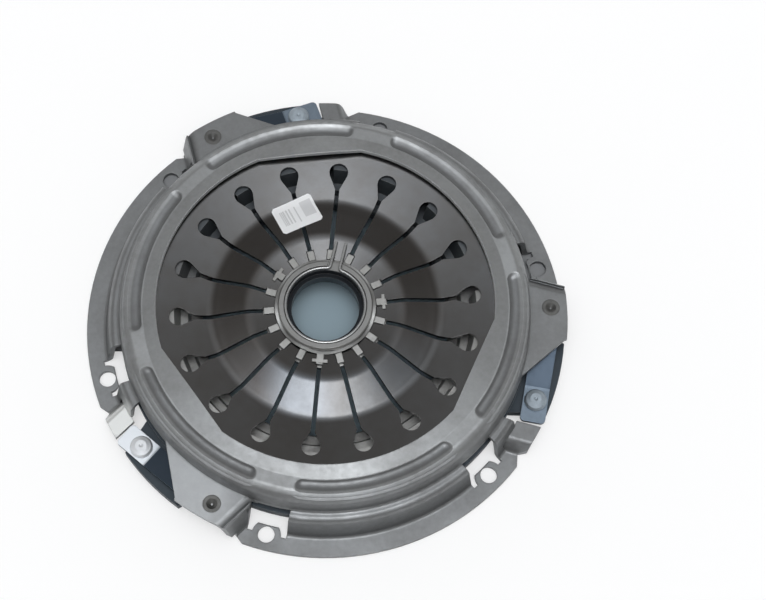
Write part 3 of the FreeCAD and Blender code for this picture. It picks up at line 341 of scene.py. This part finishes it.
def make_floor():
    mesh = bpy.data.meshes.new("floor")
    half = FLOOR_HALF_WIDTH
    mesh.from_pydata(
        [(-half, -half, 0), (half, -half, 0), (half, half, 0), (-half, half, 0)], [],
        [(0, 1, 2, 3)],
    )
    floor = bpy.data.objects.new("floor", mesh)
    bpy.context.scene.collection.objects.link(floor)
    floor.location.z = -FLOOR_GAP
    material = bpy.data.materials.new("floor")
    material.use_nodes = True
    nodes = Nodes(material.node_tree)
    place = nodes.add("ShaderNodeTexCoord").outputs["Object"]
    # Painted shade under the assembly: blue-grey inside the plate's ring, grey under the far half
    # of the cover.
    far = nodes.math("GREATER_THAN", nodes.part(place, "Y"), SHADE_FAR_START)
    limit = nodes.remap(far, 0, 1, SHADE_MIDDLE_RADIUS, SHADE_FAR_RADIUS)
    reach = nodes.add("ShaderNodeVectorMath", {0: place}, operation="LENGTH").outputs["Value"]
    shaded = nodes.math("LESS_THAN", reach, limit)
    outer = nodes.math("GREATER_THAN", reach, SHADE_MIDDLE_RADIUS)
    shade = nodes.mix(outer, SHADE_COLOUR, SHADE_FAR_COLOUR)
    surface = nodes.add("ShaderNodeBsdfDiffuse", {
        "Color": nodes.mix(shaded, FLOOR_COLOUR, shade),
    })
    glow = nodes.add("ShaderNodeEmission", {"Color": (1, 1, 1, 1), "Strength": 1.0})
    seen = nodes.add("ShaderNodeLightPath").outputs["Is Camera Ray"]
    plain = nodes.math("SUBTRACT", 1.0, shaded)
    share = nodes.math("MULTIPLY", nodes.math("MULTIPLY", seen, plain), FLOOR_GLOW)
    both = nodes.add("ShaderNodeMixShader", {
        0: share, 1: surface.outputs[0], 2: glow.outputs[0],
    })
    nodes.add("ShaderNodeOutputMaterial", {"Surface": both.outputs[0]})
    mesh.materials.append(material)


# Materials.
def distance_from_axis(nodes, place):
    parts = nodes.add("ShaderNodeSeparateXYZ", {"Vector": place})
    flat = nodes.add("ShaderNodeCombineXYZ", {"X": parts.outputs["X"], "Y": parts.outputs["Y"]})
    return nodes.add("ShaderNodeVectorMath", {0: flat.outputs[0]},
                     operation="LENGTH").outputs["Value"]


def metal(name, colour, dark, roughness, rough_spread=0.08, grain=900, grain_depth=0.02 * MM,
          patches=28, turned=0, edge=0.35, bevel=0.35 * MM, metallic=1.0, tint=None):
    """Bare metal: patchy colour and gloss, a fine grain, turning marks, and bright edges."""
    material = bpy.data.materials.new(name)
    material.use_nodes = True
    nodes = Nodes(material.node_tree)
    place = nodes.add("ShaderNodeTexCoord").outputs["Object"]
    broad = nodes.noise(place, patches, 4, 0.6)
    fine = nodes.noise(place, grain, 2, 0.6)
    speckle = nodes.noise(place, patches * SPECKLE_FINENESS, 5, 0.65)
    stain = nodes.math("ADD", broad, nodes.math("MULTIPLY", speckle, STAIN_SPECKLE_SHARE))
    stain = nodes.remap(stain, *STAIN_RANGE)
    base = nodes.mix(stain, dark, colour)
    if tint:
        base = tint(nodes, place, base)
    height = fine
    if turned:
        lines = nodes.add("ShaderNodeCombineXYZ", {
            "X": distance_from_axis(nodes, place),
            "Y": nodes.math("MULTIPLY", nodes.part(place, "Z"), TURNED_HEIGHT_SCALE),
        })
        marks = nodes.noise(lines.outputs[0], turned, 2, 0.5)
        height = nodes.math("ADD", fine, nodes.math("MULTIPLY", marks, TURNED_MARK_DEPTH))
    rounded = nodes.add("ShaderNodeBevel", {"Radius": bevel}, samples=BEVEL_SAMPLES)
    true_normal = nodes.add("ShaderNodeNewGeometry").outputs["Normal"]
    agreement = nodes.add("ShaderNodeVectorMath", {0: rounded.outputs[0], 1: true_normal},
                          operation="DOT_PRODUCT").outputs["Value"]
    wear = nodes.math("MULTIPLY", nodes.remap(agreement, *WEAR_RANGE), edge)
    worn = nodes.mix(wear, base, tuple(min(1, WEAR_BRIGHTNESS * part) for part in colour))
    bump = nodes.add("ShaderNodeBump", {
        "Strength": GRAIN_STRENGTH, "Distance": grain_depth, "Height": height,
        "Normal": rounded.outputs[0],
    })
    gloss = nodes.math("ADD", nodes.math("MULTIPLY", broad, GLOSS_PATCH_SHARE),
                       nodes.math("MULTIPLY", speckle, GLOSS_SPECKLE_SHARE))
    gloss = nodes.remap(gloss, *GLOSS_RANGE, roughness + rough_spread, roughness - rough_spread)
    shader = nodes.add("ShaderNodeBsdfPrincipled", {
        "Base Color": worn, "Metallic": metallic, "Roughness": gloss, "Normal": bump.outputs[0],
    })
    nodes.add("ShaderNodeOutputMaterial", {"Surface": shader.outputs[0]})
    return material


def paper():
    """White label stock with a block of plain grey bars, a grey patch and a grey rule."""
    material = bpy.data.materials.new("label_paper")
    material.use_nodes = True
    nodes = Nodes(material.node_tree)
    place = nodes.add("ShaderNodeUVMap", uv_map="label").outputs[0]
    across = nodes.part(place, "X")
    along = nodes.part(place, "Y")

    def inside(value, low, high):
        above = nodes.math("GREATER_THAN", value, low)
        return nodes.math("MULTIPLY", above, nodes.math("LESS_THAN", value, high))

    def block(left, right, bottom, top):
        return nodes.math("MULTIPLY", inside(across, left, right), inside(along, bottom, top))

    line = nodes.add("ShaderNodeCombineXYZ", {"X": across}).outputs[0]
    bars = nodes.math("GREATER_THAN", nodes.noise(line, LABEL_BAR_FINENESS, 0), 0.5)
    ink = nodes.math("MULTIPLY", bars, block(*LABEL_BARS))
    for place_on_label, darkness in LABEL_BLOCKS:
        shade = nodes.math("MULTIPLY", block(*place_on_label), darkness)
        ink = nodes.math("MAXIMUM", ink, shade)
    ink = nodes.math("MULTIPLY", ink, LABEL_INK_SHARE)
    colour = nodes.mix(ink, LABEL_PAPER_COLOUR, LABEL_INK_COLOUR)
    solid_place = nodes.add("ShaderNodeTexCoord").outputs["Object"]
    bump = nodes.add("ShaderNodeBump", {
        "Strength": LABEL_FIBRE_STRENGTH, "Distance": LABEL_FIBRE_DEPTH,
        "Height": nodes.noise(solid_place, LABEL_FIBRE_FINENESS, 3),
    })
    shader = nodes.add("ShaderNodeBsdfPrincipled", {
        "Base Color": colour, "Roughness": LABEL_ROUGHNESS, "Normal": bump.outputs[0],
    })
    nodes.add("ShaderNodeOutputMaterial", {"Surface": shader.outputs[0]})
    return material


def cover_shade_and_light(nodes, place, base):
    """Painted shade outside the crown and in its grooves, and painted light on the mouth's cut
    edge and on a platform and a tab at the second ear.
    """
    reach = distance_from_axis(nodes, place)
    outer = nodes.remap(reach, *CROWN_EDGE, 0, CROWN_SHADE_SHARE)
    base = nodes.mix(outer, base, COVER_SHADE_COLOUR)
    off_groove = nodes.math("ABSOLUTE", nodes.math("SUBTRACT", reach, GROOVE_SHADE_RADIUS))
    sunk = nodes.remap(nodes.part(place, "Z"), *GROOVE_HEIGHT_EDGE, 0, GROOVE_SHADE_SHARE)
    groove = nodes.math("MULTIPLY", nodes.remap(off_groove, *GROOVE_SIDE_EDGE), sunk)
    base = nodes.mix(groove, base, COVER_SHADE_COLOUR)
    facing = nodes.add("ShaderNodeNewGeometry").outputs["True Normal"]
    upright = nodes.math("ABSOLUTE", nodes.part(facing, "Z"))
    cut_edge = nodes.math("MULTIPLY", nodes.remap(upright, *CUT_UPRIGHT_EDGE),
                          nodes.remap(reach, *CUT_RADIUS_EDGE))
    base = nodes.mix(cut_edge, base, CUT_EDGE_LIGHT_COLOUR)
    near = nodes.remap(nodes.distance(place, LIT_PLATFORM_PLACE), *LIT_PLATFORM_EDGE,
                       0, LIT_PLATFORM_SHARE)
    pale = nodes.math("MULTIPLY", nodes.remap(reach, *LIT_PLATFORM_RADIUS_EDGE), near)
    base = nodes.mix(pale, base, LIT_PLATFORM_COLOUR)
    tab = nodes.remap(nodes.distance(place, LIT_TAB_PLACE), *LIT_TAB_EDGE)
    return nodes.mix(tab, base, LIT_TAB_COLOUR)


def shaded_bore(nodes, place, base):
    """Painted shade makes the collar's bore and the ledge in it nearly black."""
    reach = distance_from_axis(nodes, place)
    return nodes.mix(nodes.remap(reach, *BORE_EDGE), base, BORE_SHADE_COLOUR)


def painted_shade_casting(nodes, place, base):
    """Painted shade makes the casting's outside, lugs and far side nearly black."""
    reach = distance_from_axis(nodes, place)
    far = nodes.remap(nodes.part(place, "Y"), *CASTING_SHADE_FAR_EDGE, 0, CASTING_SHADE_FAR_SHARE)
    painted_shade = nodes.math("MAXIMUM", far, nodes.remap(reach, *CASTING_SHADE_RADIUS_EDGE))
    return nodes.mix(painted_shade, base, CASTING_SHADE_COLOUR)


def bowl_colours(nodes, place, base):
    """The spring's bowl is brown, a tone that also darkens it as painted shade, with a painted
    blue highlight on its near side and painted shade beside it.
    """
    reach = distance_from_axis(nodes, place)
    bowl = nodes.math("MULTIPLY", nodes.remap(reach, *BOWL_INNER_EDGE),
                      nodes.remap(reach, *BOWL_OUTER_EDGE, 0, BOWL_SHARE))
    side = nodes.part(place, "X")
    near = nodes.remap(nodes.part(place, "Y"), *BOWL_NEAR_EDGE)
    right = nodes.math("MULTIPLY", near, nodes.remap(side, *BOWL_RIGHT_EDGE))
    between = nodes.math("MULTIPLY", nodes.remap(side, *BOWL_HIGHLIGHT_LEFT_EDGE),
                         nodes.remap(side, *BOWL_HIGHLIGHT_RIGHT_EDGE))
    highlight = nodes.math("MULTIPLY", near, between)
    colour = nodes.mix(right, BOWL_BROWN_AND_SHADE, BOWL_SHADE)
    return nodes.mix(bowl, base, nodes.mix(highlight, colour, BOWL_HIGHLIGHT))


def tempered_and_lit(nodes, place, base):
    """Blue on the flats, with painted shade on the slopes and painted light at the second ear."""
    pale = nodes.remap(nodes.part(place, "X"), *SECOND_EAR_EDGE)
    flat_colour = nodes.mix(pale, base, LIT_STRAP_COLOUR)
    facing = nodes.add("ShaderNodeNewGeometry").outputs["True Normal"]
    level = nodes.remap(nodes.part(facing, "Z"), *STRAP_LEVEL_EDGE)
    return nodes.mix(level, STRAP_SLOPE_SHADE_COLOUR, flat_colour)


def lit_head(nodes, place, base):
    """Painted light makes the rivet head at the second ear paler than the others."""
    pale = nodes.remap(nodes.part(place, "X"), *SECOND_EAR_EDGE)
    return nodes.mix(pale, base, LIT_HEAD_COLOUR)


MATERIALS = {
    "cover": metal("cover_steel", (0.30, 0.31, 0.315), (0.225, 0.23, 0.232), 0.42,
                   edge=0.15, bevel=0.9 * MM, metallic=0.8, tint=cover_shade_and_light),
    # The sunk rivets are darker than the cover: painted shade in their seats.
    "sunk_rivet": metal("sunk_rivet_shaded_steel", (0.14, 0.14, 0.135), (0.08, 0.08, 0.078), 0.45,
                        edge=0.15, metallic=0.8),
    "spring": metal("spring_steel", (0.122, 0.123, 0.125), (0.092, 0.089, 0.086), 0.22,
                    rough_spread=0.04, patches=16, edge=0.5, tint=bowl_colours),
    "casting": metal("cast_iron", (0.32, 0.32, 0.31), (0.2, 0.195, 0.19), 0.5,
                     grain=500, grain_depth=0.08 * MM, patches=60, metallic=0.6,
                     tint=painted_shade_casting),
    "rivet": metal("rivet_steel", (0.36, 0.42, 0.47), (0.24, 0.27, 0.30), 0.55,
                   edge=0.1, metallic=0.7, tint=lit_head),
    "strap": metal("strap_steel", (0.19, 0.235, 0.285), (0.14, 0.175, 0.215), 0.4,
                   rough_spread=0.05, metallic=0.9, tint=tempered_and_lit),
    "turned": metal("turned_steel", (0.28, 0.28, 0.275), (0.2, 0.2, 0.195), 0.32,
                    turned=2200, tint=shaded_bore),
    "plated": metal("plated_steel", (0.42, 0.42, 0.41), (0.26, 0.26, 0.25), 0.36,
                    metallic=0.85),
    "wire": metal("wire_steel", (0.42, 0.43, 0.43), (0.3, 0.3, 0.3), 0.25),
    "paper": paper(),
}
NODE_MATERIALS = {
    "pressure_plate": "casting",
    "cover_rivets": "sunk_rivet",
    "lug_rivets": "rivet",
    "release_collar": "turned",
    "finger_cage": "plated",
    "wave_washer": "turned",
    "locking_wire": "wire",
    "retaining_clip_1": "plated",
    "retaining_clip_2": "plated",
    "retaining_clip_3": "plated",
}


def dress_nodes():
    for name, finish in NODE_MATERIALS.items():
        data = NODES[name].data
        data.materials.clear()
        data.materials.append(MATERIALS[finish])


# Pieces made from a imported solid's own mesh, cut finely enough to bend.
def add_piece(name, mesh, finish):
    piece = bpy.data.objects.new(name, mesh)
    bpy.context.scene.collection.objects.link(piece)
    mesh.materials.clear()
    mesh.materials.append(MATERIALS[finish])
    return piece


def slice_mesh(bm, axis, low, high, step):
    """Cuts across the axis, a step apart, that leave the shape as it is."""
    for index in range(int((high - low) / step) + 1):
        everything = bm.verts[:] + bm.edges[:] + bm.faces[:]
        bmesh.ops.bisect_plane(bm, geom=everything, dist=1e-7,
                               plane_co=axis * (low + index * step), plane_no=axis)


def make_cover_sheet():
    """The stamped cover, with its platforms lowered onto the straps and its grooves drawn in."""
    bm = bmesh.new()
    bm.from_mesh(NODES["clutch_cover"].data)
    bmesh.ops.remove_doubles(bm, verts=bm.verts[:], dist=1e-6)
    for vert in bm.verts:
        move_groove_point(vert)
    for angle in EAR_ANGLES:
        lower_platform(bm, angle)
        sink_rivet(bm, rivet_places(angle)[1])
    bmesh.ops.recalc_face_normals(bm, faces=bm.faces[:])
    mesh = bpy.data.meshes.new("cover_sheet")
    bm.to_mesh(mesh)
    bm.free()
    set_sheet_normals(mesh)
    piece = add_piece(mesh.name, mesh, "cover")
    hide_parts("clutch_cover")
    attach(piece, "cover")


def set_sheet_normals(mesh):
    """Normals that keep level faces level and turn smoothly through the bends beside them."""
    around = [[] for _ in mesh.vertices]
    for polygon in mesh.polygons:
        polygon.use_smooth = True
        for vertex in polygon.vertices:
            around[vertex].append(polygon.index)
    faces = [(polygon.normal.copy(), polygon.area) for polygon in mesh.polygons]
    normals = []
    for polygon in mesh.polygons:
        own = faces[polygon.index][0]
        for vertex in polygon.vertices:
            beside = [faces[index] for index in around[vertex]]
            beside = [(normal, area) for normal, area in beside if normal.dot(own) > SMOOTH_COSINE]
            level = [normal for normal, area in beside if abs(normal.z) > LEVEL_COSINE]
            if level:
                normals.append(level[0])
            else:
                total = sum((normal * area for normal, area in beside), Vector())
                normals.append(total.normalized() if total.length else own)
    mesh.normals_split_custom_set(normals)


def move_groove_point(vert):
    """Draws the grooves' round section inwards, most at its deepest."""
    radius = math.hypot(vert.co.x, vert.co.y)
    depth = GROOVE_TOP - vert.co.z
    if abs(radius - GROOVE_RADIUS) < GROOVE_HALF_WIDTH and 0 < depth < GROOVE_DEPTH + GROOVE_GAP:
        scale = 1 - GROOVE_SHIFT * min(1, depth / GROOVE_DEPTH) / radius
        vert.co.x *= scale
        vert.co.y *= scale


def lower_platform(bm, ear_angle):
    """Lowers the platform's flat and the top of its slope by one sheet."""
    along = polar(1, ear_angle + 90)
    out = polar(1, ear_angle)
    for vert in bm.verts:
        if not PLATFORM_START < vert.co.dot(along) < PLATFORM_END or vert.co.dot(out) < 0:
            continue
        radius = math.hypot(vert.co.x, vert.co.y)
        height = vert.co.z
        above = height - PLATFORM_HEIGHT
        on_flat = -SHEET_TOLERANCE < above < PLATFORM_DROP + SHEET_TOLERANCE
        on_rim = radius > PLATFORM_RIM_RADIUS and height > SLOPE_STILL_HEIGHT
        if on_flat and radius > PLATFORM_INNER_RADIUS:
            vert.co.z -= PLATFORM_DROP
        elif on_rim:
            share = (height - SLOPE_STILL_HEIGHT) / (SLOPE_MOVED_HEIGHT - SLOPE_STILL_HEIGHT)
            vert.co.z -= PLATFORM_DROP * min(1, share)


def sink_rivet(bm, centre):
    """Opens a countersunk seat for a rivet in the flat that lies round its axis."""
    flat = {face for face in bm.faces if face.normal.z > FLAT_UPRIGHT
            and all(abs(vert.co.z - PLATFORM_HEIGHT) < FLAT_TOLERANCE for vert in face.verts)}
    found = [min(flat, key=lambda face: (face.calc_center_median() - centre).length)]
    top = set(found)
    while found:
        for edge in found.pop().edges:
            beside = [face for face in edge.link_faces if face in flat and face not in top]
            top.update(beside)
            found.extend(beside)
    edges = {edge for face in top for edge in face.edges}
    border = [edge for edge in edges if sum(face in top for face in edge.link_faces) == 1]
    bmesh.ops.delete(bm, geom=list(top), context="FACES_ONLY")
    inner = [edge for edge in edges if edge.is_valid and edge not in border]
    bmesh.ops.delete(bm, geom=inner, context="EDGES")
    rings = []
    for radius, height in (
        (SINK_RADIUS, PLATFORM_HEIGHT),
        (SINK_FLOOR_RADIUS, PLATFORM_HEIGHT - SINK_DEPTH),
    ):
        rings.append([
            bm.verts.new(centre + polar(radius, side * 360 / SINK_SIDES, height))
            for side in range(SINK_SIDES)
        ])
    seat = []
    for side in range(SINK_SIDES):
        after = (side + 1) % SINK_SIDES
        seat.append(bm.edges.new((rings[0][side], rings[0][after])))
        bm.faces.new((rings[0][side], rings[0][after], rings[1][after], rings[1][side]))
    bm.faces.new(rings[1])
    bmesh.ops.triangle_fill(bm, edges=border + seat, use_beauty=True)


def radial_table(mesh, up):
    """Radius, height and radial normal of the spring's top or bottom face, by radius."""
    rows = []
    for loop in mesh.loops:
        if loop.normal.z * up > DISH_UPRIGHT:
            point = mesh.vertices[loop.vertex_index].co
            radius = math.hypot(point.x, point.y)
            lean = (loop.normal.x * point.x + loop.normal.y * point.y) / radius
            rows.append((radius, point.z, lean))
    return np.array(sorted(rows))


def make_fingers():
    source = NODES["diaphragm_spring"].data
    tables = {up: radial_table(source, up) for up in (1, -1)}
    pitch = 360 / FINGER_COUNT
    for index in range(FINGER_COUNT):
        middle = FIRST_SLOT_ANGLE + (index + 0.5) * pitch
        bm = bmesh.new()
        bm.from_mesh(source)
        for side in (-1, 1):
            across = polar(1, middle + side * (pitch / 2 + 90))
            everything = bm.verts[:] + bm.edges[:] + bm.faces[:]
            bmesh.ops.bisect_plane(bm, geom=everything, dist=1e-7, plane_co=(0, 0, 0),
                                   plane_no=across, clear_outer=True)
        slice_mesh(bm, polar(1, middle), BEND_END_RADIUS, BEND_START_RADIUS, FINGER_CUT_STEP)
        mesh = bpy.data.meshes.new(f"spring_finger_{index + 1}")
        bm.to_mesh(mesh)
        bm.free()
        set_spun_normals(mesh, tables)
        piece = add_piece(mesh.name, mesh, "spring")
        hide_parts("diaphragm_spring")
        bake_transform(piece)


def set_spun_normals(mesh, tables):
    """Normals that follow the round dish, so that neighbouring fingers shade as one."""
    normals = []
    for polygon in mesh.polygons:
        polygon.use_smooth = True
        facing = 1 if polygon.normal.z > 0 else -1
        for corner in polygon.loop_indices:
            if abs(polygon.normal.z) < DISH_UPRIGHT:
                normals.append(polygon.normal.copy())
                continue
            point = mesh.vertices[mesh.loops[corner].vertex_index].co
            radius = math.hypot(point.x, point.y)
            lean = np.interp(radius, tables[facing][:, 0], tables[facing][:, 2])
            if radius > EVEN_CONE_RADIUS:
                even = -facing * EVEN_CONE_LEAN
                joins = facing > 0 and radius < EVEN_CONE_FULL_RADIUS
                lean = max(lean, even) if joins else even
            upright = facing * math.sqrt(1 - lean * lean)
            normals.append(Vector((point.x / radius * lean, point.y / radius * lean, upright)))
    mesh.normals_split_custom_set(normals)


def make_leaves():
    for ear, angle in enumerate(EAR_ANGLES, 1):
        lug, fixed = rivet_places(angle)
        along = (fixed - lug).normalized()
        for leaf in range(1, LEAF_COUNT + 1):
            name = f"strap_{ear}_leaf_{leaf}"
            bm = bmesh.new()
            bm.from_mesh(NODES[name].data)
            reach = [along.dot(vert.co) for vert in bm.verts]
            slice_mesh(bm, along, min(reach), max(reach), LEAF_CUT_STEP)
            mesh = bpy.data.meshes.new(name + "_bending")
            bm.to_mesh(mesh)
            bm.free()
            mesh.polygons.foreach_set("use_smooth", [True] * len(mesh.polygons))
            mesh.set_sharp_from_angle(angle=LEAF_CREASE)
            piece = add_piece(mesh.name, mesh, "strap")
            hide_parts(name)
            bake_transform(piece)


def rivet_places(ear_angle):
    """The lug rivet's and the cover rivet's axis at an ear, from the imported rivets."""
    places = []
    for node in ("lug_rivets", "cover_rivets"):
        points = np.array([vert.co for vert in NODES[node].data.vertices])
        near = points[points @ np.array(polar(1, ear_angle)) > EAR_REACH]
        middle = (near.min(0) + near.max(0)) / 2
        places.append(Vector((middle[0], middle[1], 0)))
    return places


def make_label():
    """The label in two pieces, one on each finger beside the slot that it covers."""
    table = radial_table(NODES["diaphragm_spring"].data, 1)
    slot_angle = FIRST_SLOT_ANGLE + LABEL_SLOT * 360 / FINGER_COUNT
    for half, side in (("left", 1), ("right", -1)):
        bm = bmesh.new()
        lay_label(bm)
        bmesh.ops.bisect_plane(bm, geom=bm.verts[:] + bm.edges[:] + bm.faces[:], dist=1e-7,
                               plane_co=(0, 0, 0), plane_no=polar(side, slot_angle + 90),
                               clear_inner=True)
        cut_label_corners(bm)
        for vert in bm.verts:
            radius = math.hypot(vert.co.x, vert.co.y)
            vert.co.z = np.interp(radius, table[:, 0], table[:, 1]) + LABEL_GAP
        bm.normal_update()
        bmesh.ops.solidify(bm, geom=bm.faces[:], thickness=-LABEL_THICKNESS)
        mesh = bpy.data.meshes.new(f"label_{half}")
        bm.to_mesh(mesh)
        bm.free()
        piece = add_piece(mesh.name, mesh, "paper")
        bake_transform(piece)


def label_point(across, up):
    """A point of the flat label, from shares of its width and height from its middle."""
    return (polar(LABEL_RADIUS, LABEL_ANGLE) + polar(across * LABEL_WIDTH, LABEL_TURN)
            + polar(up * LABEL_HEIGHT, LABEL_TURN + 90))


def lay_label(bm):
    """A flat grid of faces, with its print coordinates."""
    grid = [
        [
            bm.verts.new(label_point(column / LABEL_COLUMNS - 0.5, row / LABEL_ROWS - 0.5))
            for column in range(LABEL_COLUMNS + 1)
        ]
        for row in range(LABEL_ROWS + 1)
    ]
    uv = bm.loops.layers.uv.new("label")
    for row in range(LABEL_ROWS):
        for column in range(LABEL_COLUMNS):
            corners = ((row, column), (row, column + 1), (row + 1, column + 1),
                       (row + 1, column))
            face = bm.faces.new([grid[r][c] for r, c in corners])
            for loop, (r, c) in zip(face.loops, corners):
                loop[uv].uv = (c / LABEL_COLUMNS, r / LABEL_ROWS)


def cut_label_corners(bm):
    for across in (1, -1):
        for up in (1, -1):
            corner = label_point(across * (0.5 - LABEL_CORNER / LABEL_WIDTH), up * 0.5)
            diagonal = polar(across, LABEL_TURN) + polar(up, LABEL_TURN + 90)
            bmesh.ops.bisect_plane(bm, geom=bm.verts[:] + bm.edges[:] + bm.faces[:],
                                   dist=1e-7, plane_co=corner, plane_no=diagonal,
                                   clear_outer=True)


make_camera()
make_light()
make_floor()
dress_nodes()
make_cover_sheet()
make_fingers()
make_leaves()
make_label()

bpy.context.scene.view_settings.view_transform = "Standard"
